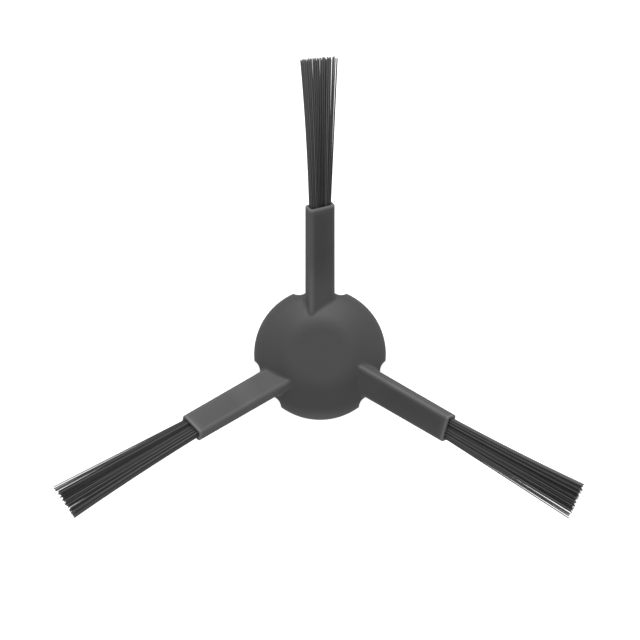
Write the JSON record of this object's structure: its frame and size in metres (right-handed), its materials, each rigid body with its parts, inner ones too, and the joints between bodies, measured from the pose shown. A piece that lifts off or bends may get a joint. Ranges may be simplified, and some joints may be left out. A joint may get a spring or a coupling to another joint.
{
  "type": "robot vacuum side brush",
  "caption": "Spinning side brush for a robot vacuum: domed hub with a square drive hole under it and curved, twisted arms that end in fanned tufts of stiff filaments, which sweep dirt inwards.",
  "frame": {"origin": "on the spin axis, in the plane of the hub's rim, at the mouth of the drive hole", "axes": "+Z along the spin axis out of the dome, away from the drive shaft; +Y along one arm, the one that points up in the picture; +X to the right there"},
  "size_m": [0.1517, 0.132, 0.0438],
  "materials": {
    "moulding": "satin moulded elastomer",
    "filaments": "smooth drawn nylon"
  },
  "bodies": {
    "root": {"hub": "moulding", "tuft_1": "filaments", "tuft_2": "filaments", "tuft_3": "filaments"}
  },
  "joints": []
}
